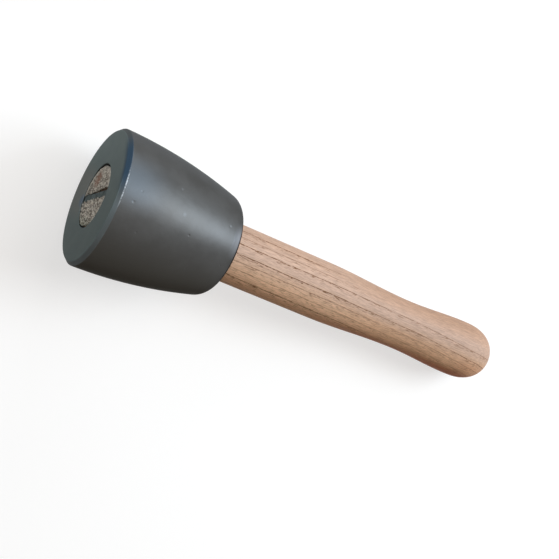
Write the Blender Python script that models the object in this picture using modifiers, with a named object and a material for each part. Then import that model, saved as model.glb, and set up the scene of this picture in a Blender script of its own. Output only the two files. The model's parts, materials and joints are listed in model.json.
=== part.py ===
"""Stonemason's round hammer: a turned steel head wedged onto a turned ash handle.

The tool lies on its side on the floor, crown towards -X and the handle's end towards +X.
Every piece is modelled about the tool's own axis: z = 0 on the crown, +z towards the handle's end.
"""
import math

import bmesh
import bpy
from mathutils import Vector

MM = 0.001

# Head
HEAD_DIAMETER = 70.0 * MM
HEAD_HEIGHT = 70.0 * MM
SIDE_RADIUS = 238.0 * MM  # the bowed side is one arc
FOOT_FILLET = 8.8 * MM
FOOT_LAND = 2.5 * MM  # flat ring of the foot, round the eye
CROWN_CHAMFER_WIDTH = 1.8 * MM
CROWN_CHAMFER_HEIGHT = 2.0 * MM
EYE_CROWN_DIAMETER = 32.8 * MM

# Handle
SHANK_DIAMETER = 30.5 * MM
SHANK_LENGTH = 57.5 * MM  # straight length below the head
COVE_LENGTH = 52.0 * MM  # from the straight shank to the waist
WAIST_DIAMETER = 26.7 * MM
FLARE_LENGTH = 38.7 * MM  # from the waist to the swell
SWELL_DIAMETER = 30.1 * MM
END_LENGTH = 19.3 * MM  # from the swell to the rounded end
END_FULLNESS = 2.4  # 2 is an ellipse, more is blunter
TENON_RECESS = 0.4 * MM  # below the crown
TENON_CHAMFER = 0.9 * MM
KERF_WIDTH = 1.2 * MM
KERF_RUNOUT = 15.0 * MM  # saw cut left open past the wedge's nose

# Wedge
WEDGE_LENGTH = 32.0 * MM
WEDGE_HEAD_THICKNESS = 3.2 * MM
WEDGE_NOSE_THICKNESS = 0.8 * MM
WEDGE_RECESS = 0.8 * MM  # below the crown
WEDGE_SIDE_GAP = 0.6 * MM  # between its narrow edges and the eye
WEDGE_EDGE = 0.25 * MM  # width of its broken edges
WEDGE_TURN = math.radians(-13.0)  # about the tool's axis

# Fits and facets
FIT_GAP = 0.3 * MM  # between the tenon and the eye, and between the wedge and its slot
CUT_MARGIN = 2.0 * MM  # how far a cutter runs past what it cuts
TURNED_FACETS = 64  # a multiple of four, so that flats face down, up and both sides
SIDE_STEPS = 10
FILLET_STEPS = 6
CURVE_STEPS = 9
END_STEPS = 8
SHARP_ANGLE = math.radians(28.0)

# Worked out from the sizes above
HEAD_RADIUS = HEAD_DIAMETER / 2
SHANK_RADIUS = SHANK_DIAMETER / 2
WAIST_RADIUS = WAIST_DIAMETER / 2
SWELL_RADIUS = SWELL_DIAMETER / 2
EYE_CROWN_RADIUS = EYE_CROWN_DIAMETER / 2
EYE_FOOT_RADIUS = SHANK_RADIUS + FIT_GAP
SHANK_END = HEAD_HEIGHT + SHANK_LENGTH
WAIST_AT = SHANK_END + COVE_LENGTH
SWELL_AT = WAIST_AT + FLARE_LENGTH
WEDGE_NOSE_AT = WEDGE_RECESS + WEDGE_LENGTH
FACET_HALF_ANGLE = math.pi / TURNED_FACETS


def clear_scene():
    for old in list(bpy.data.objects):
        bpy.data.objects.remove(old, do_unlink=True)


def new_collection(name):
    collection = bpy.data.collections.new(name)
    bpy.context.scene.collection.children.link(collection)
    return collection


def new_material(name, color, roughness, metallic):
    material = bpy.data.materials.new(name)
    material.use_nodes = True
    shader = material.node_tree.nodes["Principled BSDF"]
    shader.inputs["Base Color"].default_value = (*color, 1.0)
    shader.inputs["Roughness"].default_value = roughness
    shader.inputs["Metallic"].default_value = metallic
    return material


def eye_radius(z):
    """The eye narrows in a straight taper from the crown to the foot."""
    return EYE_CROWN_RADIUS + (EYE_FOOT_RADIUS - EYE_CROWN_RADIUS) * z / HEAD_HEIGHT


def arc(centre, start, end, steps):
    """Points on the circle about centre, from start to end the short way round."""
    first = start - centre
    turn = first.angle_signed(end - centre)
    points = []
    for step in range(steps + 1):
        angle = -turn * step / steps
        spoke = Vector((first.x * math.cos(angle) - first.y * math.sin(angle),
                        first.x * math.sin(angle) + first.y * math.cos(angle)))
        points.append(centre + spoke)
    return points


def head_profile():
    """Outline of the head's section, as (radius, z), down the outside and back up the eye."""
    rim = Vector((HEAD_RADIUS, CROWN_CHAMFER_HEIGHT))
    fillet_foot = Vector((EYE_FOOT_RADIUS + FOOT_LAND, HEAD_HEIGHT))
    fillet_centre = fillet_foot - Vector((0.0, FOOT_FILLET))

    # The side's circle goes through the rim and touches the fillet's circle from outside it
    span = fillet_centre - rim
    reach = SIDE_RADIUS - FOOT_FILLET
    along = (SIDE_RADIUS ** 2 - reach ** 2 + span.length_squared) / (2 * span.length)
    inward = Vector((-span.y, span.x)).normalized()
    side_centre = rim + span.normalized() * along + inward * math.sqrt(SIDE_RADIUS ** 2 - along ** 2)
    fillet_side = side_centre + (fillet_centre - side_centre).normalized() * SIDE_RADIUS

    profile = [Vector((eye_radius(HEAD_HEIGHT), HEAD_HEIGHT))]
    profile += arc(fillet_centre, fillet_foot, fillet_side, FILLET_STEPS)
    profile += arc(side_centre, fillet_side, rim, SIDE_STEPS)[1:]
    profile.append(Vector((HEAD_RADIUS - CROWN_CHAMFER_WIDTH, 0.0)))
    profile.append(Vector((eye_radius(0.0), 0.0)))
    return profile


def ease(start, end, share):
    """A half wave from start to end, level at both."""
    return start + (end - start) * (1 - math.cos(math.pi * share)) / 2


def handle_profile():
    """Outline of the handle, as (radius, z), from its rounded end down to the tenon's end."""
    profile = []
    for step in range(END_STEPS):
        quarter = math.pi / 2 * step / END_STEPS
        radius = SWELL_RADIUS * math.sin(quarter) ** (2 / END_FULLNESS)
        height = END_LENGTH * math.cos(quarter) ** (2 / END_FULLNESS)
        profile.append(Vector((radius, SWELL_AT + height)))
    for step in range(CURVE_STEPS):
        share = step / CURVE_STEPS
        profile.append(Vector((ease(SWELL_RADIUS, WAIST_RADIUS, share), SWELL_AT - FLARE_LENGTH * share)))
    for step in range(CURVE_STEPS + 1):
        share = step / CURVE_STEPS
        profile.append(Vector((ease(WAIST_RADIUS, SHANK_RADIUS, share), WAIST_AT - COVE_LENGTH * share)))

    chamfer_at = TENON_RECESS + TENON_CHAMFER
    profile.append(Vector((SHANK_RADIUS, HEAD_HEIGHT)))
    profile.append(Vector((eye_radius(chamfer_at) - FIT_GAP, chamfer_at)))
    profile.append(Vector((eye_radius(TENON_RECESS) - FIT_GAP - TENON_CHAMFER, TENON_RECESS)))
    profile.append(Vector((0.0, TENON_RECESS)))
    return profile


def turned(name, profile, closed):
    """Spin a profile about z into a smooth mesh with its sharp edges marked."""
    outline = bpy.data.meshes.new(name + "_profile")
    count = len(profile)
    edges = [(index, index + 1) for index in range(count - 1)]
    if closed:
        edges.append((count - 1, 0))
    outline.from_pydata([(point.x, 0.0, point.y) for point in profile], edges, [])
    lathe = bpy.data.objects.new(name + "_lathe", outline)
    bpy.context.scene.collection.objects.link(lathe)

    screw = lathe.modifiers.new("Screw", "SCREW")
    screw.axis = "Z"
    screw.steps = TURNED_FACETS
    screw.render_steps = TURNED_FACETS
    screw.use_merge_vertices = True
    screw.merge_threshold = 0.00001
    mesh = bpy.data.meshes.new_from_object(lathe.evaluated_get(bpy.context.evaluated_depsgraph_get()))
    mesh.name = name
    bpy.data.objects.remove(lathe, do_unlink=True)
    bpy.data.meshes.remove(outline)
    mesh.shade_smooth()
    mesh.set_sharp_from_angle(angle=SHARP_ANGLE)
    return mesh


def tapered_bar(name, width, start, start_thickness, end, end_thickness):
    """A flat bar along the axis, with its width along x and its thickness, along y, changing with z."""
    mesh = bpy.data.meshes.new(name)
    cage = bmesh.new()
    bmesh.ops.create_cube(cage, size=1.0)
    for corner in cage.verts:
        at_end = corner.co.z > 0
        corner.co.x *= width
        corner.co.y *= end_thickness if at_end else start_thickness
        corner.co.z = end if at_end else start
    cage.to_mesh(mesh)
    cage.free()
    return mesh


def wedge_thickness(z):
    """Thickness of the wedge's taper at a height, also past its ends."""
    share = (z - WEDGE_RECESS) / WEDGE_LENGTH
    return WEDGE_HEAD_THICKNESS + (WEDGE_NOSE_THICKNESS - WEDGE_HEAD_THICKNESS) * share


def rest_slope(head_points, swell_points):
    """Slope of the line that touches both the head's side and the handle's swell."""
    slopes = []
    for head in head_points:
        slopes.append(max((swell.x - head.x) / (swell.y - head.y) for swell in swell_points))
    return min(slopes)


def lying_axis(head_points, handle_points, collection):
    """An empty that lays the tool's axis down, with the floor at z = 0 under the middle of the tool."""
    swell_points = [point for point in handle_points if point.y > WAIST_AT]
    flat = math.cos(FACET_HALF_ANGLE)
    tilt = math.atan(-rest_slope(head_points, swell_points) * flat)
    points = head_points + handle_points
    lift = max(point.x * flat * math.cos(tilt) + point.y * math.sin(tilt) for point in points)
    left = min(point.y * math.cos(tilt) - point.x * flat * math.sin(tilt) for point in points)
    right = max(point.y * math.cos(tilt) + point.x * flat * math.sin(tilt) for point in points)

    axis = bpy.data.objects.new("tool_axis", None)
    axis.location = (-(left + right) / 2, 0.0, lift)
    axis.rotation_euler = (0.0, math.pi / 2 + tilt, 0.0)
    collection.objects.link(axis)
    return axis


def place(name, mesh, axis, turn, collection):
    """Put a mesh on the tool's axis, turned about it."""
    piece = bpy.data.objects.new(name, mesh)
    piece.parent = axis
    piece.rotation_euler = (0.0, 0.0, turn)
    collection.objects.link(piece)
    return piece


def cut(piece, cutter):
    """Take a cutter out of a piece and keep it only as a guide."""
    cutter.hide_render = True
    cutter.display_type = "WIRE"
    boolean = piece.modifiers.new("Cut " + cutter.name, "BOOLEAN")
    boolean.operation = "DIFFERENCE"
    boolean.solver = "EXACT"
    boolean.object = cutter


def make_head(profile, axis, collection):
    head = place("head", turned("head", profile, closed=True), axis, FACET_HALF_ANGLE, collection)
    head.data.materials.append(new_material("blackened steel", (0.10, 0.11, 0.115), 0.38, 1.0))


def make_handle(profile, axis, collection, cutters):
    handle = place("handle", turned("handle", profile, closed=False), axis, FACET_HALF_ANGLE, collection)
    handle.data.materials.append(new_material("ash wood", (0.55, 0.36, 0.24), 0.6, 0.0))

    across = EYE_CROWN_DIAMETER + 2 * CUT_MARGIN
    slot_start = -CUT_MARGIN
    slot_end = WEDGE_NOSE_AT + FIT_GAP
    slot_mesh = tapered_bar("wedge_slot", across, slot_start, wedge_thickness(slot_start) + 2 * FIT_GAP,
                            slot_end, wedge_thickness(slot_end) + 2 * FIT_GAP)
    cut(handle, place("wedge_slot", slot_mesh, axis, WEDGE_TURN, cutters))

    kerf_start = WEDGE_NOSE_AT - CUT_MARGIN
    kerf_end = slot_end + KERF_RUNOUT
    kerf_mesh = tapered_bar("saw_kerf", across, kerf_start, KERF_WIDTH, kerf_end, KERF_WIDTH)
    cut(handle, place("saw_kerf", kerf_mesh, axis, WEDGE_TURN, cutters))


def make_wedge(axis, collection):
    width = 2 * (eye_radius(WEDGE_NOSE_AT) - WEDGE_SIDE_GAP)
    mesh = tapered_bar("wedge", width, WEDGE_RECESS, WEDGE_HEAD_THICKNESS,
                       WEDGE_NOSE_AT, WEDGE_NOSE_THICKNESS)
    wedge = place("wedge", mesh, axis, WEDGE_TURN, collection)
    wedge.data.materials.append(new_material("wedge steel", (0.09, 0.12, 0.13), 0.45, 1.0))
    bevel = wedge.modifiers.new("Broken edges", "BEVEL")
    bevel.width = WEDGE_EDGE
    bevel.segments = 1
    bevel.limit_method = "NONE"


def main():
    clear_scene()
    tool = new_collection("round_hammer")
    cutters = new_collection("cutters")
    head_points = head_profile()
    handle_points = handle_profile()
    axis = lying_axis(head_points, handle_points, tool)
    make_head(head_points, axis, tool)
    make_handle(handle_points, axis, tool, cutters)
    make_wedge(axis, tool)


main()
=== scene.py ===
"""Looks of the round mason's hammer: blackened steel head, turned ash handle and hammered wedge.

Each piece is modelled about the tool's own axis (z = 0 on the crown, +z towards the handle's end)
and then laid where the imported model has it. The materials measure in the same frame, in millimetres.
"""
import json
import math

import bmesh
import bpy
from mathutils import Matrix, Vector, noise

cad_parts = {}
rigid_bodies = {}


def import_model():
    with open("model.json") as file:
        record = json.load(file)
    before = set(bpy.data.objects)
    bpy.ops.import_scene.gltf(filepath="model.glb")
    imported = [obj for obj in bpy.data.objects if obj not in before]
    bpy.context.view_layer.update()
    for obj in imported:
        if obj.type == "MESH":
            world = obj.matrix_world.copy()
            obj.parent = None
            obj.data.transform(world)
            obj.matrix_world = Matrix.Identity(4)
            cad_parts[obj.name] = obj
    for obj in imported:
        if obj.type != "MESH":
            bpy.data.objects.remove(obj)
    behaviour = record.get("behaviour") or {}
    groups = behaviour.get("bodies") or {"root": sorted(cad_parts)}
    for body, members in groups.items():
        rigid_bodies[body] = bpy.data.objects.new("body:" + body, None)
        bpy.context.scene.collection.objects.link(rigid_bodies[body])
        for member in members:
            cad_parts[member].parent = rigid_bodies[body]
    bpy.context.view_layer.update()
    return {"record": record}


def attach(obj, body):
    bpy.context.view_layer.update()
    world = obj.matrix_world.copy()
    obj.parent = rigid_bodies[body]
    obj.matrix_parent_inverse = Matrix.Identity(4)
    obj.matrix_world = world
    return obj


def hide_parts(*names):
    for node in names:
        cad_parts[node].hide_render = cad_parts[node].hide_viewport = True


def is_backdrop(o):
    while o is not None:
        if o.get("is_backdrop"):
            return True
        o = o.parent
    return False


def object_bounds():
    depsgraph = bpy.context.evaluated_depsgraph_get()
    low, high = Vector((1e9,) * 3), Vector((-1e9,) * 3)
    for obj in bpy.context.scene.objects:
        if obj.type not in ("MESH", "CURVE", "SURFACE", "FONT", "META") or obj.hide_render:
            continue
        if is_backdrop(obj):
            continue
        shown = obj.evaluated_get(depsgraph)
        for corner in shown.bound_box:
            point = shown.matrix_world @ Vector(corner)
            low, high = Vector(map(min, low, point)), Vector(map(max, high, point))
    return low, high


MM = 0.001

# The tool's sizes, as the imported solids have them
HEAD_RADIUS = 35.0 * MM
HEAD_HEIGHT = 70.0 * MM
SIDE_RADIUS = 238.0 * MM
FOOT_FILLET = 8.8 * MM
FOOT_LAND = 2.5 * MM
CHAMFER_WIDTH = 1.8 * MM
CHAMFER_HEIGHT = 2.0 * MM
EYE_CROWN_RADIUS = 16.4 * MM
EYE_FOOT_RADIUS = 15.55 * MM
SHANK_RADIUS = 15.25 * MM
SHANK_END = 127.5 * MM
WAIST_RADIUS = 13.35 * MM
WAIST_AT = 179.5 * MM
SWELL_RADIUS = 15.05 * MM
SWELL_AT = 218.2 * MM
END_FULLNESS = 2.4  # 2 is an ellipse, more is blunter
TENON_RECESS = 0.4 * MM
KERF_WIDTH = 1.2 * MM
KERF_END = 48.1 * MM
WEDGE_WIDTH = 30.8 * MM
WEDGE_LENGTH = 32.0 * MM
WEDGE_HEAD_THICKNESS = 3.2 * MM
WEDGE_NOSE_THICKNESS = 0.8 * MM
WEDGE_RECESS = 0.8 * MM
WEDGE_TURN = math.radians(-13.0)
WEDGE_GAP = 0.3 * MM
PACKED_FACETS = 64  # sides of the turned solids, which a true round has to fit inside

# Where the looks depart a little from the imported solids
SKIN = 0.02 * MM  # how far the turned pieces stay inside the solids
END_LENGTH = 19.22 * MM  # from the swell to the rounded end
TENON_CHAMFER = 0.4 * MM
TENON_GAP = 0.1 * MM  # between the tenon and the eye

# The photograph's view of the tool
FRAME_PIXELS = 559.0
FOCAL_PIXELS = 1300.0
CROWN_PIXEL = (94.35, 195.25)
CROWN_DEPTH = 612.4 * MM
AXIS_FALL = math.radians(22.78)  # how far the axis falls to the right in the picture
AXIS_TILT = math.radians(24.89)  # how far the axis leans away from the camera
SENSOR_WIDTH = 36.0  # millimetres
NEAREST_SEEN = 10.0 * MM

# Roundings
RIM_ROUNDING = 0.8 * MM
FACE_ROUNDING = 0.5 * MM
EYE_ROUNDING = 0.3 * MM
FACE_START = 0.1  # share of the crown's width that is left to its rounded edge
EYE_START = 0.03  # share of the eye's depth that is left to its rounded mouth

# Wear of the tenon
SLIVER_LENGTH = 6.0 * MM  # slivers broke away at the eye's edge
SLIVERS = (  # toward which side each lies, how thick it was and how narrow
    (math.radians(82.0), 1.1 * MM, 5),
    (math.radians(-98.0), 1.5 * MM, 24),
)
RAGGED_SIZE = 2.5 * MM
RAGGED_SHARE = 0.5
SAWN_SHARE = 0.9  # of a sliver's length; what lies past it is the sawn end
SAWN_DEPTH = 0.16 * MM
FIBRE_SIZE = 0.9 * MM
SAW_MARK_SIZE = 3.5 * MM
SAW_MARK_SHARE = 0.7

# Slot and kerf, and the slot's wear
CUT_MARGIN = 2.0 * MM  # how far a cutter runs past what it cuts
SLOT_GAP = 0.45 * MM  # beside the wedge, before the slot's edges splinter
SPLINTER_SIZE = 1.6 * MM
SPLINTER_GRAIN = 1.3 * MM
SPLINTER_DEPTH = 8.0 * MM
GAPE_WIDTH = 0.8 * MM  # how far one half of the slot gapes beside the wedge
GAPE_REACH = 5.0 * MM

# Wear of the wedge
UPSET_LENGTH = 2.0 * MM
UPSET_WIDTH = 0.6 * MM
UPSET_THICKNESS = 0.5 * MM  # at the end that took the most blows
HAMMERED_SIZE = 3.0 * MM
HAMMERED_DEPTH = Vector((0.15, 0.1, 0.2)) * MM
HAMMERED_SEED = 1  # without one, the vector noise starts from the clock

# A finer wave that is laid over a coarse noise
FINER = 2.7
FINER_SHARE = 0.5

# Mesh density
HEAD_SEGMENTS = 256
HANDLE_SEGMENTS = 192
CORNER_STEPS = 5
SIDE_STEPS = 48
FILLET_STEPS = 24
FACE_STEPS = 16
EYE_STEPS = 12
END_STEPS = 48
FLARE_STEPS = 36
COVE_STEPS = 48
SHANK_STEPS = 40
TENON_STEPS = 48
CHAMFER_STEPS = 4
TENON_END_STEPS = 40
VOXEL = 0.3 * MM
SEAM = 0.001 * MM  # points this close are one where a turned mesh closes
WELD = 0.01 * MM  # points this close are one after the cuts
SHARP_ANGLE = math.radians(40.0)

# Colours of the head
OXIDE_DARK = (0.071, 0.068, 0.064)
OXIDE_PALE = (0.081, 0.078, 0.074)
# painted shade: the side's oxide made darker on its low half, where little light falls
OXIDE_PAINTED_SHADE = (0.059, 0.055, 0.048)
# painted light: paler oxide on the side's upper part
OXIDE_PAINTED_LIGHT = (0.108, 0.106, 0.103)
OXIDE_BLUE = (0.080, 0.088, 0.096)
# painted highlight: a pale patch that carries the key light's highlight over the foot fillet
OXIDE_PAINTED_HIGHLIGHT = (0.268, 0.274, 0.288)
OXIDE_DENTED = (0.150, 0.154, 0.158)
CROWN_DARK = (0.124, 0.158, 0.160)
CROWN_PALE = (0.138, 0.174, 0.173)
CROWN_BROWN = (0.178, 0.194, 0.188)
CROWN_BLUE_SPOT = (0.110, 0.160, 0.230)
BEVEL_DARK = (0.078, 0.088, 0.090)
BEVEL_PALE = (0.086, 0.095, 0.096)
# painted reflection: the bevel made paler on its low side
BEVEL_PAINTED_REFLECTION = (0.110, 0.128, 0.132)
BEVEL_DEEP_BLUE = (0.032, 0.066, 0.110)
# worn rim and painted highlight: bare steel, kept mostly where the rim catches the key light
BARE_STEEL_AND_HIGHLIGHT = (0.56, 0.60, 0.64)
# painted shade: a dark line at the foot's edge where the handle goes in
FOOT_PAINTED_SHADE = (0.028, 0.023, 0.020)
CROWN_SHEEN = (0.6, 0.6, 0.6)
SIDE_SHEEN = (0.36, 0.36, 0.36)
FOOT_SHADE_SHEEN = (0.10, 0.09, 0.09)

# Where the head's tones lie
BEVEL_Z = (0.05, 0.5)  # the crown goes over into the bevel
SIDE_Z = (1.7, 2.3)  # the bevel goes over into the side
SIDE_SHADE_Y = (-26.0, -4.0)
SIDE_LIT_TURN = (0.76, 0.98)  # painted light on the upper side; height over radius
SIDE_BLUE_Y = (-4.0, 8.0, 16.0, 28.0)
SIDE_BLUE_Z = (4.0, 28.0)
SIDE_BLUE_SHARE = 0.8
# where the painted highlight at the foot lies
FOOT_HIGHLIGHT_X = (-20.0, -10.0)
FOOT_HIGHLIGHT_Y = (-5.0, 8.0, 7.0, 15.5)
FOOT_HIGHLIGHT_FAINT_Z = (42.0, 60.0)
FOOT_HIGHLIGHT_FAINT_SHARE = 0.05
FOOT_HIGHLIGHT_Z = (62.8, 67.0)
FOOT_HIGHLIGHT_SHARE = 0.95
CROWN_LIT_X = 0.8  # the direction in which painted light makes the crown lighter
CROWN_LIT_Y = 0.6
CROWN_REACH = (-30.0, 30.0)
CROWN_SHADES = (0.86, 1.14)
BROWN_X = (8.0, 18.0)
BROWN_Y = (-17.0, -7.0, 6.0, 16.0)
BLUE_SPOT_AT = (17.4, -4.6, 0.0)  # a bluer spot on the crown beside the wedge
BLUE_SPOT_REACH = (0.5, 4.5)
BLUE_SPOT_SHARE = 0.7
BEVEL_REFLECTION_Y = (-24.0, -14.0, -2.0, 6.0)
DEEP_BLUE_X = (-24.0, -10.0)
DEEP_BLUE_Y = (3.0, 16.0)
DEEP_BLUE_RADIUS = (29.0, 33.0)
DEEP_BLUE_SHARE = 0.85
RIM_Z = (1.6, 1.85, 2.05, 2.3)
# where the rim's painted highlight lies
RIM_HIGHLIGHT_Y = (-4.0, 9.0, 11.0, 20.0)
RIM_UNLIT_SHARE = 0.03
GLINT_RANGE = (0.42, 0.58)
GLINT_FAINTEST = 0.3
# where the painted shade at the foot's edge lies
FOOT_SHADE_Z = (67.5, 68.2)
DENTS = (  # small dents in the side: where each lies and how far it reaches
    ((-33.4, 9.9, 10.3), 0.8),
    ((-34.7, 4.1, 7.9), 1.0),
    ((-27.9, 18.1, 29.5), 1.0),
    ((-31.6, 8.0, 34.2), 1.5),
    ((-25.1, 11.3, 59.7), 1.0),
)
DENT_SHARE = 0.25

# Finish of the head, with heights in steps of its relief
STEEL_METALLIC = 0.5
HEAD_ROUGHNESS = (0.36, 0.44)
HEAD_RELIEF = 0.01 * MM
LATHE_FEED = 4.0  # lines in a millimetre
LATHE_STRETCH = 0.03  # how little the lines change on their way round
LATHE_HEIGHT = 0.7
MOTTLE_HEIGHT = 0.9
WAVE_HEIGHT = 7.0
PIT_SCALE = 0.13
PIT_REACH = (0.02, 0.10)
PIT_DEPTH = 8.0
DENT_DEPTH = 8.0
DULL_BY_CLOUD = 0.6
DULL_BY_LATHE = 0.4

# Colours and finish of the wedge
WEDGE_DARK = (0.062, 0.080, 0.080)
WEDGE_PALE = (0.140, 0.174, 0.176)
WEDGE_SHEEN = (0.5, 0.5, 0.5)
WEDGE_ROUGHNESS = (0.38, 0.55)
WEDGE_RELIEF = 0.15 * MM

# Colours of the wood, and the tints that are multiplied in
LATE_HIGH = (0.444, 0.286, 0.204)
# painted light: the wood's low side made lighter, to lift the shade that falls there
LATE_WOOD_PAINTED_LIGHT = (0.690, 0.422, 0.260)
EARLY_WOOD = (0.38, 0.22, 0.135)
PORE_BROWN = (0.150, 0.060, 0.020)
# painted shade: a ruddy dark at the handle's low edge towards the end
LIMB_PAINTED_SHADE = (0.64, 0.39, 0.28)
MELLOW_TINT = (0.985, 0.945, 0.905)
TIP_TINT = (0.90, 0.83, 0.80)
# painted shade: the handle's top made darker towards the end
TOP_PAINTED_SHADE = (0.88, 0.84, 0.79)
SPECK_BROWN = (0.16, 0.145, 0.12)
STRAW_HIGH = (0.80, 0.79, 0.72)
STRAW_LOW = (0.94, 0.93, 0.86)
STAIN_RED = (0.30, 0.15, 0.10)
PALE_EDGE_STRAW = (0.84, 0.85, 0.80)
END_LOW_TINT = (0.74, 0.80, 0.76)

# Growth rings
RINGS = (  # where each ring starts across the handle, how open its pores are and how far along they run
    (12.8, 0.8, 130.0),
    (9.4, 0.5, 150.0),
    (5.8, 0.9, 260.0),
    (0.7, 1.0, 260.0),
    (-2.8, 0.6, 260.0),
    (-6.4, 0.4, 260.0),
    (-10.0, 0.65, 170.0),
    (-13.6, 0.4, 170.0),
)
RING_FADING = 20.0  # half the length in which a ring's pores run out
RING_BOW = 0.006
GRAIN_SLOPE = 0.012  # how fast the grain runs off the axis
END_LEAN = 3.0  # how far the grain leans off at the handle's end
END_LEAN_Z = (172.0, 240.0)
WANDER = 0.7
WAVER = 0.35
ROW_START = (-0.04, 0.06)
ROW_END = (0.28, 0.56)
TRAIL_END = (0.2, 2.8)

# Cells of the wood's noises in a millimetre, along x, y and z
WANDER_GRAIN = (0.03, 0.03, 0.010)
WAVER_GRAIN = (0.25, 0.25, 0.06)
FIBRE_GRAIN = (1.6, 1.6, 0.035)
FINE_GRAIN = (2.4, 2.4, 0.2)
PORE_GRAIN = (2.2, 2.2, 0.30)
BREAK_GRAIN = (0.4, 0.4, 0.09)
DOT_GRAIN = (2.0, 2.0, 0.9)
SPECKLE_GRAIN = (0.4, 1.0, 1.0)

# Pores and streaks
BREAK_RANGE = (0.30, 0.46)
BREAK_SHARES = (0.3, 1.0)
DOT_RANGE = (0.36, 0.56)
DOT_SHARES = (0.5, 1.25)
PORE_RANGE = (0.55, 0.63)
STREWN_SHARES = (0.12, 0.28)  # pores between the rows, high and low on the handle
FAR_PORE_SHARE = 0.6
TRAIL_SHARE = 0.15
FINE_SHARE = 2.1
STREAK_RANGE = (1.15, 1.95)
STREAK_SHADES = (0.77, 1.16)
NEAR_SHADE = 1.15

# Where the wood's tones lie
LOW_WOOD_Y = (-10.0, 3.0)
SHADED_Z = (105.0, 165.0)
COVE_Z = (115.0, 175.0)
LIMB_SHADE_Y = (-14.2, -10.0)
CREST_Y = 2.0
OFF_CREST = (3.0, 6.0)
MELLOW_Z = (125.0, 165.0)
TIP_Y = (-8.0, -2.0)
TIP_Z = (205.0, 225.0)
TOP_SHADE_Y = (7.0, 13.0)
TOP_SHADE_Z = (120.0, 205.0)
TOP_SHADE_SHARES = (0.5, 1.0)
END_GRAIN_Z = (1.2, 1.7)
SPECKLE_RANGE = (0.40, 0.60)
STRAW_Y = (-8.0, 2.0)
STAIN_AT = (5.8, 7.9, 0.4)  # a reddish stain on the tenon's end
STAIN_REACH = (4.5, 9.0)
STAIN_FRAYING = 6.0
STAIN_SHARE = 0.75
PALE_EDGE_FROM_CENTRE = (12.0, 15.5)
PALE_EDGE_Y = (-13.0, 9.0)
PALE_EDGE_SHARE = 0.6
END_LOW_Y = (-15.0, -9.0)

# Finish of the wood, with heights in steps of its relief
WOOD_ROUGHNESS = (0.52, 0.66)
WOOD_SPECULAR = 0.15
WOOD_RELIEF = 0.06 * MM
FINE_HEIGHT = 0.25

# Ranges that noises and shares run through
WHOLE = (0.0, 1.0)
NOISE_MIDDLE = (0.35, 0.65)
NOISE_REACH = (0.3, 0.7)

# Studio, in metres, degrees and watts
ORIGIN = (0.0, 0.0, 0.0)
WHITE = (1.0, 1.0, 1.0)
SEEN_RAYS = ("Is Camera Ray", "Is Glossy Ray", "Is Transmission Ray")
FLOOR_SIZE = 12.0
FLOOR_BOUNCE = (0.35, 0.24, 0.16)
FLOOR_LIT = (0.39, 0.365, 0.34)
FLOOR_GLOW = 0.66
FLOOR_FADE = (0.2, 0.6)
SKY_WARM = (1.0, 0.76, 0.52)
SKY_STRENGTH = 0.12
LAMP_DISTANCE = 1.3
LAMPS = (  # name, azimuth (0 is +X, 90 is +Y), elevation, side, power and colour
    ("key", 30.0, 40.0, 0.6, 17.2, (0.73, 0.86, 1.0)),
    ("side", 60.0, 40.0, 0.7, 6.0, (0.68, 0.85, 1.0)),
    ("back", 90.0, 15.0, 0.7, 6.5, (0.80, 0.90, 1.0)),
    ("fill", 170.0, 27.0, 0.7, 2.3, (0.80, 0.90, 1.0)),
    ("top", 60.0, 65.0, 0.7, 3.4, (1.0, 0.92, 0.82)),
)


# Frame and camera

def tool_axes(record):
    """The tool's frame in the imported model: z along the handle, y level, origin at the crown's centre."""
    crown = record["mounts"][0]
    along = -Vector(crown["axis"]).normalized()
    level = Vector((0.0, 1.0, 0.0))
    down = level.cross(along)
    origin = Vector((crown["pos_m"][0], 0.0, crown["pos_m"][2]))
    rotation = Matrix((down, level, along)).transposed().to_4x4()
    return Matrix.Translation(origin) @ rotation


def make_camera(axes):
    """A camera that sees the crown's centre and the axis where the photograph has them."""
    along = Vector((math.cos(AXIS_FALL) * math.cos(AXIS_TILT),
                    math.sin(AXIS_FALL) * math.cos(AXIS_TILT),
                    math.sin(AXIS_TILT)))
    level = Vector((math.sin(AXIS_FALL), -math.cos(AXIS_FALL), 0.0))
    seen = Matrix((level.cross(along), level, along))
    to_world = axes.to_3x3() @ seen
    middle = FRAME_PIXELS / 2
    crown_seen = Vector(((CROWN_PIXEL[0] - middle) / FOCAL_PIXELS,
                         (CROWN_PIXEL[1] - middle) / FOCAL_PIXELS, 1.0)) * CROWN_DEPTH

    data = bpy.data.cameras.new("camera")
    data.sensor_width = SENSOR_WIDTH
    data.lens = SENSOR_WIDTH * FOCAL_PIXELS / FRAME_PIXELS
    data.clip_start = NEAREST_SEEN
    camera = bpy.data.objects.new("camera", data)
    right, under, ahead = (to_world.col[index] for index in range(3))
    rotation = Matrix((right, -under, -ahead)).transposed().to_4x4()
    camera.matrix_world = Matrix.Translation(axes.translation - to_world @ crown_seen) @ rotation
    bpy.context.scene.collection.objects.link(camera)
    bpy.context.scene.camera = camera


# Outlines

def eye_radius(z):
    """Radius of the tapered eye at a height."""
    return EYE_CROWN_RADIUS + (EYE_FOOT_RADIUS - EYE_CROWN_RADIUS) * z / HEAD_HEIGHT


def wedge_thickness(z):
    """Thickness of the wedge's taper at a height, also past its ends."""
    share = (z - WEDGE_RECESS) / WEDGE_LENGTH
    return WEDGE_HEAD_THICKNESS + (WEDGE_NOSE_THICKNESS - WEDGE_HEAD_THICKNESS) * share


def line(start, end, steps):
    """Points from start towards end, without end."""
    return [start.lerp(end, step / steps) for step in range(steps)]


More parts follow.
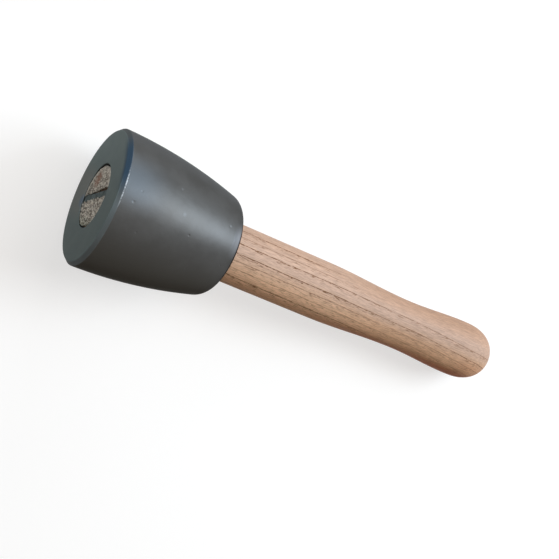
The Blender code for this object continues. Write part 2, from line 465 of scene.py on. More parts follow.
def arc(centre, start, end, steps):
    """Points on a circle from start to end, the short way round, without end."""
    first = start - centre
    turn = -first.angle_signed(end - centre)
    points = []
    for step in range(steps):
        angle = turn * step / steps
        points.append(centre + Vector((first.x * math.cos(angle) - first.y * math.sin(angle),
                                       first.x * math.sin(angle) + first.y * math.cos(angle))))
    return points


def wave(start_radius, start_z, end_radius, end_z, steps):
    """Points along half a wave of the radius, level at both ends, without the last."""
    points = []
    for step in range(steps):
        share = step / steps
        radius = start_radius + (end_radius - start_radius) * (1 - math.cos(math.pi * share)) / 2
        points.append(Vector((radius, start_z + (end_z - start_z) * share)))
    return points


def corner(before, point, after, radius):
    """Points of a small rounding at a corner, with the flats' ends beside it."""
    back = (before - point).normalized()
    on = (after - point).normalized()
    half = back.angle(on) / 2
    reach = radius / math.tan(half)
    centre = point + (back + on).normalized() * radius / math.sin(half)
    start = point + back * reach
    end = point + on * reach
    rounding = arc(centre, start, end, CORNER_STEPS)
    return [start + back * radius / 2] + rounding + [end, end + on * radius / 2]


def head_section():
    """Section of the head, as (radius, z): down the outside from the foot, over the crown and up the eye."""
    rim = Vector((HEAD_RADIUS, CHAMFER_HEIGHT))
    fillet_foot = Vector((EYE_FOOT_RADIUS + FOOT_LAND, HEAD_HEIGHT))
    fillet_centre = fillet_foot - Vector((0.0, FOOT_FILLET))
    span = fillet_centre - rim
    reach = SIDE_RADIUS - FOOT_FILLET
    along = (SIDE_RADIUS ** 2 - reach ** 2 + span.length_squared) / (2 * span.length)
    inward = Vector((-span.y, span.x)).normalized()
    side_centre = rim + span.normalized() * along + inward * math.sqrt(SIDE_RADIUS ** 2 - along ** 2)
    fillet_side = side_centre + (fillet_centre - side_centre).normalized() * SIDE_RADIUS

    eye_foot = Vector((eye_radius(HEAD_HEIGHT), HEAD_HEIGHT))
    face_edge = Vector((HEAD_RADIUS - CHAMFER_WIDTH, 0.0))
    eye_mouth = Vector((eye_radius(0.0), 0.0))
    side = arc(side_centre, fillet_side, rim, SIDE_STEPS)
    section = corner(eye_mouth, eye_foot, fillet_foot, EYE_ROUNDING)
    section += arc(fillet_centre, fillet_foot, fillet_side, FILLET_STEPS)
    section += side[:-1]
    section += corner(side[-1], rim, face_edge, RIM_ROUNDING)
    section += corner(rim, face_edge, eye_mouth, FACE_ROUNDING)
    section += line(face_edge.lerp(eye_mouth, FACE_START), eye_mouth, FACE_STEPS)
    section += corner(face_edge, eye_mouth, eye_foot, EYE_ROUNDING)
    section += line(eye_mouth.lerp(eye_foot, EYE_START), eye_foot, EYE_STEPS)
    return section


def handle_section():
    """Outline of the handle, as (radius, z), from the rounded end to the middle of the tenon's end."""
    section = []
    for step in range(END_STEPS):
        quarter = math.pi / 2 * step / END_STEPS
        section.append(Vector((SWELL_RADIUS * math.sin(quarter) ** (2 / END_FULLNESS),
                               SWELL_AT + END_LENGTH * math.cos(quarter) ** (2 / END_FULLNESS))))
    section += wave(SWELL_RADIUS, SWELL_AT, WAIST_RADIUS, WAIST_AT, FLARE_STEPS)
    section += wave(WAIST_RADIUS, WAIST_AT, SHANK_RADIUS, SHANK_END, COVE_STEPS)
    shank = Vector((SHANK_RADIUS, SHANK_END))
    foot = Vector((SHANK_RADIUS, HEAD_HEIGHT))
    chamfer_at = TENON_RECESS + TENON_CHAMFER
    tenon = Vector((eye_radius(chamfer_at) - TENON_GAP, chamfer_at))
    edge = Vector((eye_radius(TENON_RECESS) - TENON_GAP - TENON_CHAMFER, TENON_RECESS))
    middle = Vector((0.0, TENON_RECESS))
    section += line(shank, foot, SHANK_STEPS)
    section += line(foot, tenon, TENON_STEPS)
    section += line(tenon, edge, CHAMFER_STEPS)
    section += line(edge, middle, TENON_END_STEPS)
    section.append(middle)
    return section


# Meshes

def new_piece(name, mesh):
    """An object in the scene that shows a mesh."""
    piece = bpy.data.objects.new(name, mesh)
    bpy.context.scene.collection.objects.link(piece)
    return piece


def keep_modifiers(piece):
    """Turn what the modifiers make into the piece's own mesh."""
    shaped = piece.evaluated_get(bpy.context.evaluated_depsgraph_get())
    mesh = bpy.data.meshes.new_from_object(shaped)
    piece.modifiers.clear()
    piece.data = mesh


def spin(name, section, segments, closed):
    """Turn a section about z into a closed mesh."""
    cage = bmesh.new()
    inside = math.cos(math.pi / PACKED_FACETS)
    points = [cage.verts.new((max(point.x * inside - SKIN, 0.0), 0.0, point.y)) for point in section]
    edges = [cage.edges.new(pair) for pair in zip(points, points[1:])]
    if closed:
        edges.append(cage.edges.new((points[-1], points[0])))
    bmesh.ops.spin(cage, geom=points + edges, axis=(0, 0, 1), cent=(0, 0, 0),
                   angle=2 * math.pi, steps=segments, use_merge=True)
    bmesh.ops.remove_doubles(cage, verts=cage.verts, dist=SEAM)
    bmesh.ops.recalc_face_normals(cage, faces=cage.faces)
    mesh = bpy.data.meshes.new(name)
    cage.to_mesh(mesh)
    cage.free()
    return mesh


def bar(name, width, start, start_thickness, end, end_thickness):
    """A flat bar along z, whose thickness changes from start to end, as a fine even mesh."""
    cage = bmesh.new()
    bmesh.ops.create_cube(cage, size=1.0)
    for point in cage.verts:
        at_end = point.co.z > 0
        point.co.x *= width
        point.co.y *= end_thickness if at_end else start_thickness
        point.co.z = end if at_end else start
    mesh = bpy.data.meshes.new(name)
    cage.to_mesh(mesh)
    cage.free()
    piece = new_piece(name, mesh)
    remesh = piece.modifiers.new("even", "REMESH")
    remesh.mode = "VOXEL"
    remesh.voxel_size = VOXEL
    keep_modifiers(piece)
    return piece


def cut(piece, cutter):
    """Take a cutter's shape out of a piece for good."""
    boolean = piece.modifiers.new("cut", "BOOLEAN")
    boolean.object = cutter
    boolean.solver = "EXACT"
    keep_modifiers(piece)
    bpy.data.objects.remove(cutter)


def weld(mesh):
    """Join the points that the cuts left almost together, and drop the scraps that this leaves."""
    cage = bmesh.new()
    cage.from_mesh(mesh)
    bmesh.ops.triangulate(cage, faces=cage.faces)
    bmesh.ops.remove_doubles(cage, verts=cage.verts, dist=WELD)
    bmesh.ops.dissolve_degenerate(cage, edges=cage.edges, dist=WELD)
    bmesh.ops.triangulate(cage, faces=cage.faces)
    twins = {}
    for face in cage.faces:
        twins.setdefault(frozenset(face.verts), []).append(face)
    scraps = [face for faces in twins.values() if len(faces) > 1 for face in faces]
    while scraps:
        bmesh.ops.delete(cage, geom=scraps, context="FACES")
        scraps = [face for face in cage.faces if sum(edge.is_boundary for edge in face.edges) > 1]
    cage.to_mesh(mesh)
    cage.free()


def settle(piece, axes, node, material):
    """Keep the tool's own coordinates on the mesh for its material, then lay the piece in place."""
    mesh = piece.data
    mesh.shade_smooth()
    mesh.set_sharp_from_angle(angle=SHARP_ANGLE)
    kept = mesh.attributes.new("tool_point", "FLOAT_VECTOR", "POINT")
    kept.data.foreach_set("vector", [value for point in mesh.vertices for value in point.co])
    mesh.transform(axes)
    mesh.materials.clear()
    mesh.materials.append(material)
    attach(piece, "root")
    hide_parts(node)


# Wear

def clamp(value):
    """A value held between 0 and 1."""
    return min(1.0, max(0.0, value))


def wear_tenon(mesh):
    """Break slivers off the tenon's edge and leave its end as the saw did."""
    for point in mesh.vertices:
        share = 1 - (point.co.z - TENON_RECESS) / SLIVER_LENGTH
        if share <= 0:
            continue
        angle = math.atan2(point.co.y, point.co.x)
        ragged = 1 + RAGGED_SHARE * noise.noise(point.co / RAGGED_SIZE)
        loss = 0.0
        for toward, thickness, narrowness in SLIVERS:
            loss += thickness * max(0.0, math.cos(angle - toward)) ** narrowness
        keep = 1 - loss / EYE_CROWN_RADIUS * share * ragged
        point.co.x *= keep
        point.co.y *= keep
        if share > SAWN_SHARE:
            fibres = noise.noise(point.co / FIBRE_SIZE)
            saw_marks = noise.noise(point.co / SAW_MARK_SIZE)
            point.co.z += SAWN_DEPTH * (fibres + SAW_MARK_SHARE * saw_marks)


def splinter(mesh):
    """Tear the slot's long edges where the wedge was driven in, so that splinters hang over its end."""
    for point in mesh.vertices:
        place = point.co / SPLINTER_GRAIN
        outward = math.copysign(1.0, point.co.y)
        torn = noise.noise(place) + FINER_SHARE * noise.noise(place * FINER)
        deep = clamp(1 - point.co.z / SPLINTER_DEPTH)
        overhang = clamp((WEDGE_RECESS - point.co.z) / TENON_RECESS)
        gaping = clamp(-point.co.x / GAPE_REACH) if point.co.y > 0 else 0.0
        share = deep if torn > 0 else overhang * (1 - gaping)
        point.co.y += outward * SPLINTER_SIZE * torn * share + GAPE_WIDTH * gaping * deep


def upset(mesh):
    """Spread the wedge's driven end, as the blows did."""
    for point in mesh.vertices:
        share = max(0.0, 1 - (point.co.z - WEDGE_RECESS) / UPSET_LENGTH)
        swollen = clamp(2 * point.co.x / WEDGE_WIDTH)
        point.co.x += math.copysign(UPSET_WIDTH * share, point.co.x)
        point.co.y += math.copysign(UPSET_THICKNESS * share * swollen, point.co.y)


def hammer(mesh):
    """Push the wedge's surface about, as hammer blows leave it, the same way each run."""
    noise.seed_set(HAMMERED_SEED)
    for point in mesh.vertices:
        place = point.co / HAMMERED_SIZE
        shift = noise.noise_vector(place) + FINER_SHARE * noise.noise_vector(place * FINER)
        point.co += shift * HAMMERED_DEPTH


# Pieces

def make_head(axes):
    """The turned steel head with its eye."""
    piece = new_piece("steel_head", spin("steel_head", head_section(), HEAD_SEGMENTS, closed=True))
    settle(piece, axes, "head", head_steel())


def make_handle(axes):
    """The turned handle, with the wedge's slot and the saw kerf cut out of its tenon."""
    piece = new_piece("ash_handle", spin("ash_handle", handle_section(), HANDLE_SEGMENTS, closed=False))
    wear_tenon(piece.data)
    across = 2 * EYE_CROWN_RADIUS + 2 * CUT_MARGIN
    start = -CUT_MARGIN
    end = WEDGE_RECESS + WEDGE_LENGTH + WEDGE_GAP
    slot = bar("slot", across, start, wedge_thickness(start) + 2 * SLOT_GAP,
               end, wedge_thickness(end) + 2 * SLOT_GAP)
    splinter(slot.data)
    kerf = bar("kerf", across, end - CUT_MARGIN, KERF_WIDTH, KERF_END, KERF_WIDTH)
    for cutter in (slot, kerf):
        cutter.data.transform(Matrix.Rotation(WEDGE_TURN, 4, "Z"))
        cut(piece, cutter)
    weld(piece.data)
    settle(piece, axes, "handle", ash_wood())


def make_wedge(axes):
    """The flat tapered wedge, battered at its driven end."""
    piece = bar("steel_wedge", WEDGE_WIDTH, WEDGE_RECESS, WEDGE_HEAD_THICKNESS,
                WEDGE_RECESS + WEDGE_LENGTH, WEDGE_NOSE_THICKNESS)
    upset(piece.data)
    hammer(piece.data)
    piece.data.transform(Matrix.Rotation(WEDGE_TURN, 4, "Z"))
    settle(piece, axes, "wedge", wedge_steel())


# Nodes

class Nodes:
    """Short calls for building a material's nodes."""

    def __init__(self, name):
        self.material = bpy.data.materials.new(name)
        self.material.use_nodes = True
        self.tree = self.material.node_tree
        self.shader = self.tree.nodes["Principled BSDF"]

    def add(self, kind, **settings):
        """A new node with its settings."""
        node = self.tree.nodes.new(kind)
        for key, value in settings.items():
            setattr(node, key, value)
        return node

    def feed(self, node, values):
        """Set or link a node's inputs, by their place or name."""
        for key, value in values.items():
            socket = node.inputs[key]
            if isinstance(value, bpy.types.NodeSocket):
                self.tree.links.new(value, socket)
            elif socket.type == "RGBA":
                socket.default_value = (*value, 1.0)
            else:
                socket.default_value = value
        return node

    def math(self, operation, first, second=0.0):
        node = self.add("ShaderNodeMath", operation=operation)
        return self.feed(node, {0: first, 1: second}).outputs[0]

    def chain(self, operation, values):
        """One operation carried on through several values."""
        result = values[0]
        for value in values[1:]:
            result = self.math(operation, result, value)
        return result

    def product(self, *values):
        return self.chain("MULTIPLY", values)

    def total(self, *values):
        return self.chain("ADD", values)

    def largest(self, *values):
        return self.chain("MAXIMUM", values)

    def split(self, vector):
        return self.feed(self.add("ShaderNodeSeparateXYZ"), {0: vector}).outputs

    def join(self, x, y, z):
        return self.feed(self.add("ShaderNodeCombineXYZ"), {0: x, 1: y, 2: z}).outputs[0]

    def stretch(self, vector, scale):
        """A vector with its parts multiplied by those of a scale."""
        node = self.add("ShaderNodeVectorMath", operation="MULTIPLY")
        return self.feed(node, {0: vector, 1: scale}).outputs["Vector"]

    def distance(self, point, place):
        node = self.add("ShaderNodeVectorMath", operation="DISTANCE")
        return self.feed(node, {0: point, 1: place}).outputs["Value"]

    def noise(self, vector, scale, detail, roughness):
        node = self.add("ShaderNodeTexNoise")
        self.feed(node, {"Vector": vector, "Scale": scale, "Detail": detail, "Roughness": roughness})
        return node.outputs["Fac"]

    def map_range(self, kind, value, span, start, end):
        node = self.add("ShaderNodeMapRange", interpolation_type=kind)
        self.feed(node, {"Value": value, "From Min": span[0], "From Max": span[1],
                         "To Min": start, "To Max": end})
        return node.outputs["Result"]

    def fade(self, value, span, start=0.0, end=1.0):
        """A smooth step from start to end as value crosses a span."""
        return self.map_range("SMOOTHSTEP", value, span, start, end)

    def spread(self, value, span, start, end):
        """A straight line from start to end as value crosses a span."""
        return self.map_range("LINEAR", value, span, start, end)

    def band(self, value, edges, outside=0.0):
        """A smooth rise to 1 between the first two edges and a fall between the last two."""
        rise = self.fade(value, edges[:2], outside, 1.0)
        fall = self.fade(value, edges[2:], 1.0, outside)
        return self.product(rise, fall)

    def blend(self, factor, first, second, mode="MIX"):
        """A colour between two, the second at factor 1."""
        node = self.add("ShaderNodeMix", data_type="RGBA", blend_type=mode)
        return self.feed(node, {0: factor, 6: first, 7: second}).outputs[2]

    def tint(self, factor, color, by):
        """A colour that is multiplied by another at factor 1."""
        return self.blend(factor, color, by, "MULTIPLY")

    def shade(self, color, light):
        """A colour made lighter or darker."""
        return self.tint(1.0, color, self.join(light, light, light))

    def bump(self, height, step):
        """Surface relief: the height counts steps of a size."""
        node = self.feed(self.add("ShaderNodeBump"), {"Height": height, "Distance": step})
        return node.outputs["Normal"]


class ToolNodes(Nodes):
    """Nodes of a material on the tool, which know the place in its frame, in millimetres."""

    def __init__(self, name):
        super().__init__(name)
        place = self.add("ShaderNodeAttribute", attribute_name="tool_point")
        self.point = self.stretch(place.outputs["Vector"], (1 / MM, 1 / MM, 1 / MM))
        self.x, self.y, self.z = self.split(self.point)

    def cloud(self, scale, detail, roughness):
        """Noise that is alike in all directions."""
        return self.noise(self.point, scale, detail, roughness)

    def grain(self, cells, detail, roughness):
        """Noise with its own number of cells in a millimetre along each direction."""
        return self.noise(self.stretch(self.point, cells), 1.0, detail, roughness)

    def away_from(self, place):
        return self.distance(self.point, place)


# Steel of the head

def side_color(nodes, radius, patchy):
    """Oxide with painted shade below and painted light on top, bluer near the crown, and a painted highlight
    at the foot.
    """
    turn = nodes.math("DIVIDE", nodes.y, radius)
    blue = nodes.product(nodes.band(nodes.y, SIDE_BLUE_Y),
                         nodes.fade(nodes.z, SIDE_BLUE_Z, SIDE_BLUE_SHARE, 0.0))
    # painted highlight at the foot, where the fillet turns away from the key light
    highlight_along = nodes.total(nodes.fade(nodes.z, FOOT_HIGHLIGHT_FAINT_Z, 0.0, FOOT_HIGHLIGHT_FAINT_SHARE),
                         nodes.fade(nodes.z, FOOT_HIGHLIGHT_Z, 0.0, FOOT_HIGHLIGHT_SHARE))
    foot_highlight = nodes.product(nodes.band(nodes.y, FOOT_HIGHLIGHT_Y), nodes.fade(nodes.x, FOOT_HIGHLIGHT_X, 1.0, 0.0), highlight_along)
    color = nodes.blend(patchy, OXIDE_DARK, OXIDE_PALE)
    # painted shade: darker oxide on the side's low half
    color = nodes.blend(nodes.fade(nodes.y, SIDE_SHADE_Y, 1.0, 0.0), color, OXIDE_PAINTED_SHADE)
    # painted light: paler oxide towards the top
    color = nodes.blend(nodes.fade(turn, SIDE_LIT_TURN), color, OXIDE_PAINTED_LIGHT)
    color = nodes.blend(blue, color, OXIDE_BLUE)
    return nodes.blend(foot_highlight, color, OXIDE_PAINTED_HIGHLIGHT)


def crown_color(nodes, patchy):
    """Blue-grey, with painted light towards one edge, a brown side and a bluer spot beside the wedge."""
    # painted light: the crown made lighter towards one edge
    lighter = nodes.total(nodes.product(nodes.x, CROWN_LIT_X), nodes.product(nodes.y, CROWN_LIT_Y))
    brown = nodes.product(nodes.band(nodes.y, BROWN_Y), nodes.fade(nodes.x, BROWN_X))
    blue_spot = nodes.fade(nodes.away_from(BLUE_SPOT_AT), BLUE_SPOT_REACH, BLUE_SPOT_SHARE, 0.0)
    color = nodes.blend(patchy, CROWN_DARK, CROWN_PALE)
    color = nodes.shade(color, nodes.spread(lighter, CROWN_REACH, *CROWN_SHADES))
    color = nodes.blend(brown, color, CROWN_BROWN)
    return nodes.blend(blue_spot, color, CROWN_BLUE_SPOT)


def bevel_color(nodes, patchy):
    """Darker than the crown, with a painted reflection on its low side."""
    color = nodes.blend(patchy, BEVEL_DARK, BEVEL_PALE)
    # painted reflection on the bevel's low side
    return nodes.blend(nodes.band(nodes.y, BEVEL_REFLECTION_Y), color, BEVEL_PAINTED_REFLECTION)


def rim_wear_and_highlight(nodes):
    """Glints of bare steel along the rim, as worn steel with a painted highlight, mostly where the rim
    catches the key light.
    """
    highlit = nodes.band(nodes.y, RIM_HIGHLIGHT_Y, RIM_UNLIT_SHARE)
    glints = nodes.fade(nodes.cloud(scale=1.4, detail=1.0, roughness=0.5), GLINT_RANGE, GLINT_FAINTEST, 1.0)
    return nodes.product(nodes.band(nodes.z, RIM_Z), highlit, glints)


def head_color(nodes, radius, cloud, hollows):
    """Crown, bevel and side, with the deep blue band, the worn rim with its painted highlight, the painted
    shade at the foot and the dents.
    """
    patchy = nodes.fade(cloud, NOISE_MIDDLE)
    deep_blue = nodes.product(nodes.fade(nodes.y, DEEP_BLUE_Y), nodes.fade(nodes.x, DEEP_BLUE_X, 1.0, 0.0),
                             nodes.fade(radius, DEEP_BLUE_RADIUS), DEEP_BLUE_SHARE)
    color = nodes.blend(nodes.fade(nodes.z, BEVEL_Z), crown_color(nodes, patchy), bevel_color(nodes, patchy))
    color = nodes.blend(deep_blue, color, BEVEL_DEEP_BLUE)
    color = nodes.blend(nodes.fade(nodes.z, SIDE_Z), color, side_color(nodes, radius, patchy))
    # worn rim with its painted highlight
    color = nodes.blend(rim_wear_and_highlight(nodes), color, BARE_STEEL_AND_HIGHLIGHT)
    # painted shade at the foot's edge
    color = nodes.blend(nodes.fade(nodes.z, FOOT_SHADE_Z), color, FOOT_PAINTED_SHADE)
    for hollow in hollows:
        color = nodes.blend(nodes.product(hollow, DENT_SHARE), color, OXIDE_DENTED)
    return color


def head_sheen(nodes):
    """Tint of the mirrored light: strongest on the crown and nearly gone in the painted shade at the foot."""
    sheen = nodes.blend(nodes.fade(nodes.z, SIDE_Z), CROWN_SHEEN, SIDE_SHEEN)
    return nodes.blend(nodes.fade(nodes.z, FOOT_SHADE_Z), sheen, FOOT_SHADE_SHEEN)


def lathe_lines(nodes, radius):
    """Fine turned lines round the axis, on the side and on the crown."""
    along = nodes.total(nodes.z, radius)
    turned = nodes.join(nodes.product(nodes.x, LATHE_STRETCH), nodes.product(nodes.y, LATHE_STRETCH), along)
    return nodes.noise(turned, scale=LATHE_FEED, detail=3.0, roughness=0.6)


def head_relief(nodes, lines, hollows):
    """Lathe lines, mottle and a slight wave, with pits and dents."""
    mottle = nodes.cloud(scale=0.6, detail=3.0, roughness=0.6)
    waves = nodes.cloud(scale=0.16, detail=2.0, roughness=0.5)
    relief = nodes.total(nodes.product(lines, LATHE_HEIGHT), nodes.product(mottle, MOTTLE_HEIGHT),
                         nodes.product(waves, WAVE_HEIGHT))
    pits = nodes.add("ShaderNodeTexVoronoi", feature="F1")
    nodes.feed(pits, {"Vector": nodes.point, "Scale": PIT_SCALE})
    pitted = nodes.fade(pits.outputs["Distance"], PIT_REACH, PIT_DEPTH, 0.0)
    relief = nodes.math("SUBTRACT", relief, pitted)
    for hollow in hollows:
        relief = nodes.math("SUBTRACT", relief, nodes.product(hollow, DENT_DEPTH))
    return relief


def head_steel():
    """Blackened turned steel: fine lathe lines, cloudy oxide, a bluer crown and a worn rim with a painted
    highlight.
    """
    nodes = ToolNodes("blackened_steel")
    squares = nodes.total(nodes.product(nodes.x, nodes.x), nodes.product(nodes.y, nodes.y))
    radius = nodes.math("SQRT", squares)
    cloud = nodes.cloud(scale=0.09, detail=3.0, roughness=0.55)
    lines = lathe_lines(nodes, radius)
    hollows = [nodes.fade(nodes.away_from(place), (0.0, reach), 1.0, 0.0) for place, reach in DENTS]
    dull = nodes.total(nodes.product(cloud, DULL_BY_CLOUD), nodes.product(lines, DULL_BY_LATHE))
    nodes.feed(nodes.shader, {
        "Base Color": head_color(nodes, radius, cloud, hollows),
        "Roughness": nodes.spread(dull, NOISE_REACH, *HEAD_ROUGHNESS),
        "Metallic": STEEL_METALLIC,
        "Specular IOR Level": 0.0,
        "Specular Tint": head_sheen(nodes),
        "Normal": nodes.bump(head_relief(nodes, lines, hollows), HEAD_RELIEF),
    })
    return nodes.material


# Steel of the wedge

def wedge_steel():
    """Dark hammered steel with a blue-green temper."""
    nodes = ToolNodes("wedge_steel")
    cloud = nodes.cloud(scale=0.6, detail=3.0, roughness=0.7)
    blows = nodes.cloud(scale=1.2, detail=3.0, roughness=0.6)
    nodes.feed(nodes.shader, {
        "Base Color": nodes.blend(nodes.fade(cloud, NOISE_MIDDLE), WEDGE_DARK, WEDGE_PALE),
        "Roughness": nodes.spread(cloud, NOISE_REACH, *WEDGE_ROUGHNESS),
        "Metallic": STEEL_METALLIC,
        "Specular IOR Level": 0.0,
        "Specular Tint": WEDGE_SHEEN,
        "Normal": nodes.bump(blows, WEDGE_RELIEF),
    })
    return nodes.material


# Wood of the handle

def across_rings(nodes):
    """Place across the growth rings, which lean off the axis, bow gently and waver."""
    wander = nodes.grain(WANDER_GRAIN, detail=2.0, roughness=0.5)
    waver = nodes.grain(WAVER_GRAIN, detail=3.0, roughness=0.6)
    drift = nodes.total(nodes.spread(wander, WHOLE, -WANDER, WANDER),
                        nodes.spread(waver, WHOLE, -WAVER, WAVER))
    lean = nodes.total(nodes.product(nodes.z, GRAIN_SLOPE), nodes.fade(nodes.z, END_LEAN_Z, 0.0, END_LEAN))
    bowed = nodes.product(nodes.x, nodes.x, RING_BOW)
    return nodes.math("SUBTRACT", nodes.total(nodes.y, lean, drift), bowed)


def pore_rows(nodes):
    """The row of open pores where each ring starts, and the trail of fewer pores further in."""
    across = across_rings(nodes)
    rows = 0.0
    trails = 0.0
    for place, openness, reach in RINGS:
        inside = nodes.math("SUBTRACT", place, across)
        opened = nodes.fade(nodes.z, (reach - RING_FADING, reach + RING_FADING), openness, 0.0)
        start = nodes.product(opened, nodes.fade(inside, ROW_START))
        rows = nodes.largest(rows, nodes.product(start, nodes.fade(inside, ROW_END, 1.0, 0.0)))
        trails = nodes.largest(trails, nodes.product(start, nodes.fade(inside, TRAIL_END, 1.0, 0.0)))
    return rows, trails


def dark_pores(nodes, rows, trails, low):
    """The rows, broken up into dots, and short dashes between them, all fainter towards the handle's end."""
    broken = nodes.grain(BREAK_GRAIN, detail=2.0, roughness=0.7)
    dots = nodes.grain(DOT_GRAIN, detail=1.0, roughness=0.5)
    pores = nodes.grain(PORE_GRAIN, detail=1.0, roughness=0.5)
    dotted = nodes.product(rows, nodes.fade(broken, BREAK_RANGE, *BREAK_SHARES),
                           nodes.fade(dots, DOT_RANGE, *DOT_SHARES))
    strewn = nodes.total(trails, nodes.spread(low, WHOLE, *STREWN_SHARES))
    dashes = nodes.product(nodes.fade(pores, PORE_RANGE), strewn)
    return nodes.product(nodes.largest(dotted, dashes), nodes.fade(nodes.z, COVE_Z, 1.0, FAR_PORE_SHARE))


def wood_color(nodes, trails, low, fibre, fine):
    """Late wood with fine streaks, painted light on its low side, a ruddy painted shade at its low edge
    towards the end, and painted shade on top.
    """
    streaks = nodes.spread(nodes.total(fibre, nodes.product(fine, FINE_SHARE)), STREAK_RANGE, *STREAK_SHADES)
    limb_shade = nodes.product(nodes.fade(nodes.y, LIMB_SHADE_Y, 1.0, 0.0), nodes.fade(nodes.z, COVE_Z))
    from_crest = nodes.math("ABSOLUTE", nodes.math("SUBTRACT", nodes.y, CREST_Y))
    mellow = nodes.product(nodes.fade(from_crest, OFF_CREST), nodes.fade(nodes.z, MELLOW_Z))
    tip = nodes.product(nodes.fade(nodes.y, TIP_Y, 1.0, 0.0), nodes.fade(nodes.z, TIP_Z))
    top_shade = nodes.product(nodes.fade(nodes.y, TOP_SHADE_Y), nodes.fade(nodes.z, TOP_SHADE_Z, *TOP_SHADE_SHARES))
    # painted light: a lighter base on the low side
    color = nodes.blend(low, LATE_HIGH, LATE_WOOD_PAINTED_LIGHT)
    color = nodes.blend(nodes.product(trails, TRAIL_SHARE), color, EARLY_WOOD)
    color = nodes.shade(color, nodes.product(streaks, nodes.fade(nodes.z, SHADED_Z, NEAR_SHADE, 1.0)))
    # painted shade at the low edge towards the end
    color = nodes.tint(limb_shade, color, LIMB_PAINTED_SHADE)
    color = nodes.tint(mellow, color, MELLOW_TINT)
    color = nodes.tint(tip, color, TIP_TINT)
    # painted shade on the handle's top
    return nodes.tint(top_shade, color, TOP_PAINTED_SHADE)


def end_grain(nodes):
    """The sawn end in the eye: speckled straw, with a red stain, a pale edge and a dull low side."""
    speckle = nodes.grain(SPECKLE_GRAIN, detail=2.0, roughness=0.8)
    frayed = nodes.total(nodes.away_from(STAIN_AT), nodes.product(speckle, STAIN_FRAYING))
    pale_edge = nodes.product(nodes.fade(nodes.away_from(ORIGIN), PALE_EDGE_FROM_CENTRE),
                             nodes.fade(nodes.y, PALE_EDGE_Y, 0.0, PALE_EDGE_SHARE))
    straw = nodes.blend(nodes.fade(nodes.y, STRAW_Y, 1.0, 0.0), STRAW_HIGH, STRAW_LOW)
    color = nodes.blend(nodes.fade(speckle, SPECKLE_RANGE), SPECK_BROWN, straw)
    color = nodes.blend(nodes.fade(frayed, STAIN_REACH, STAIN_SHARE, 0.0), color, STAIN_RED)
    color = nodes.blend(pale_edge, color, PALE_EDGE_STRAW)
    return nodes.tint(nodes.fade(nodes.y, END_LOW_Y, 1.0, 0.0), color, END_LOW_TINT)


def ash_wood():
    """Ring-porous ash: straight rows of open pores, soft late wood between them, and dull end grain."""
    nodes = ToolNodes("ash_wood")
    rows, trails = pore_rows(nodes)
    low = nodes.fade(nodes.y, LOW_WOOD_Y, 1.0, 0.0)
    fibre = nodes.grain(FIBRE_GRAIN, detail=3.0, roughness=0.6)
    fine = nodes.grain(FINE_GRAIN, detail=2.0, roughness=0.7)
    pores = dark_pores(nodes, rows, trails, low)
    color = nodes.blend(pores, wood_color(nodes, trails, low, fibre, fine), PORE_BROWN)
    relief = nodes.math("SUBTRACT", nodes.product(fine, FINE_HEIGHT), pores)
    nodes.feed(nodes.shader, {
        "Base Color": nodes.blend(nodes.fade(nodes.z, END_GRAIN_Z, 1.0, 0.0), color, end_grain(nodes)),
        "Roughness": nodes.spread(fibre, NOISE_REACH, *WOOD_ROUGHNESS),
        "Specular IOR Level": WOOD_SPECULAR,
        "Normal": nodes.bump(relief, WOOD_RELIEF),
    })
    return nodes.material


# Studio

def floor_white():
    """A pale floor: white where it is seen, with the tool's shadow, and plain where it only bounces light."""
    nodes = Nodes("floor_white")
    nodes.tree.nodes.remove(nodes.shader)
    rays = nodes.add("ShaderNodeLightPath").outputs
    seen = nodes.largest(*(rays[ray] for ray in SEEN_RAYS))
    plain = nodes.feed(nodes.add("ShaderNodeBsdfDiffuse"), {"Color": FLOOR_BOUNCE})
    lit = nodes.feed(nodes.add("ShaderNodeBsdfDiffuse"), {"Color": FLOOR_LIT})
    glow = nodes.feed(nodes.add("ShaderNodeEmission"), {"Color": WHITE, "Strength": FLOOR_GLOW})
    near = nodes.feed(nodes.add("ShaderNodeAddShader"), {0: lit.outputs[0], 1: glow.outputs[0]})
    white = nodes.feed(nodes.add("ShaderNodeEmission"), {"Color": WHITE, "Strength": 1.0})
    place = nodes.add("ShaderNodeTexCoord").outputs["Object"]
    far = nodes.fade(nodes.distance(place, ORIGIN), FLOOR_FADE)
    pale = nodes.add("ShaderNodeMixShader")
    nodes.feed(pale, {0: far, 1: near.outputs[0], 2: white.outputs[0]})
    floor = nodes.add("ShaderNodeMixShader")
    nodes.feed(floor, {0: seen, 1: plain.outputs[0], 2: pale.outputs[0]})
    nodes.feed(nodes.tree.nodes["Material Output"], {"Surface": floor.outputs[0]})
    return nodes.material


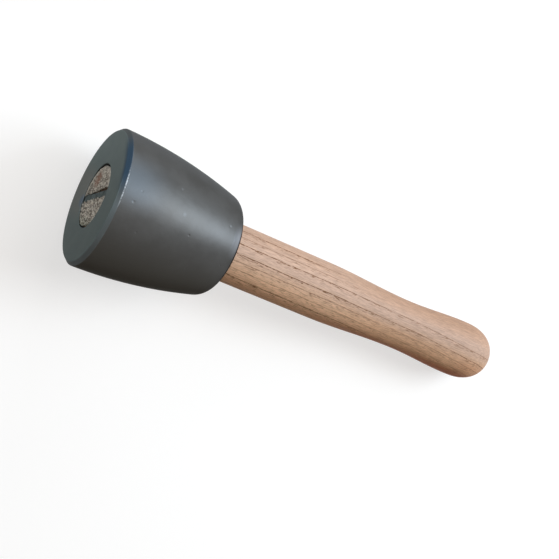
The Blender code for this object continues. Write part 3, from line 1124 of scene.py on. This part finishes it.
def make_floor(low):
    """A wide floor at the height that the tool lies on."""
    bpy.ops.mesh.primitive_plane_add(size=FLOOR_SIZE, location=(0.0, 0.0, low))
    floor = bpy.context.object
    floor.name = "floor"
    floor.data.materials.append(floor_white())
    floor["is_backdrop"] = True


def make_lamp(name, azimuth, elevation, side, power, color):
    """A square softbox that looks at the tool from a compass direction and a height."""
    data = bpy.data.lights.new(name, "AREA")
    data.shape = "SQUARE"
    data.size = side
    data.energy = power
    data.color = color
    lamp = bpy.data.objects.new(name, data)
    level = math.cos(math.radians(elevation))
    toward = Vector((level * math.cos(math.radians(azimuth)),
                     level * math.sin(math.radians(azimuth)),
                     math.sin(math.radians(elevation))))
    lamp.location = toward * LAMP_DISTANCE
    lamp.rotation_euler = toward.to_track_quat("Z", "Y").to_euler()
    bpy.context.scene.collection.objects.link(lamp)


def make_sky():
    """A pale room: bright where it is seen or mirrored, and faint and warm where it only lights the tool."""
    world = bpy.data.worlds.new("studio")
    bpy.context.scene.world = world
    world.use_nodes = True
    tree = world.node_tree
    plain = tree.nodes["Background"]
    plain.inputs["Color"].default_value = (*SKY_WARM, 1.0)
    plain.inputs["Strength"].default_value = SKY_STRENGTH
    seen = tree.nodes.new("ShaderNodeBackground")
    seen.inputs["Color"].default_value = (*WHITE, 1.0)
    seen.inputs["Strength"].default_value = 1.0
    rays = tree.nodes.new("ShaderNodeLightPath").outputs
    source = plain
    for ray in SEEN_RAYS:
        mix = tree.nodes.new("ShaderNodeMixShader")
        tree.links.new(rays[ray], mix.inputs[0])
        tree.links.new(source.outputs[0], mix.inputs[1])
        tree.links.new(seen.outputs[0], mix.inputs[2])
        source = mix
    tree.links.new(source.outputs[0], tree.nodes["World Output"].inputs["Surface"])


def make_studio(low):
    """Floor, lamps and sky."""
    make_floor(low)
    for lamp in LAMPS:
        make_lamp(*lamp)
    make_sky()


def main():
    for old in list(bpy.data.objects):
        bpy.data.objects.remove(old, do_unlink=True)
    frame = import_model()
    axes = tool_axes(frame["record"])
    make_camera(axes)
    make_head(axes)
    make_handle(axes)
    make_wedge(axes)
    make_studio(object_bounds()[0].z)
    bpy.context.scene.view_settings.view_transform = "Standard"


main()
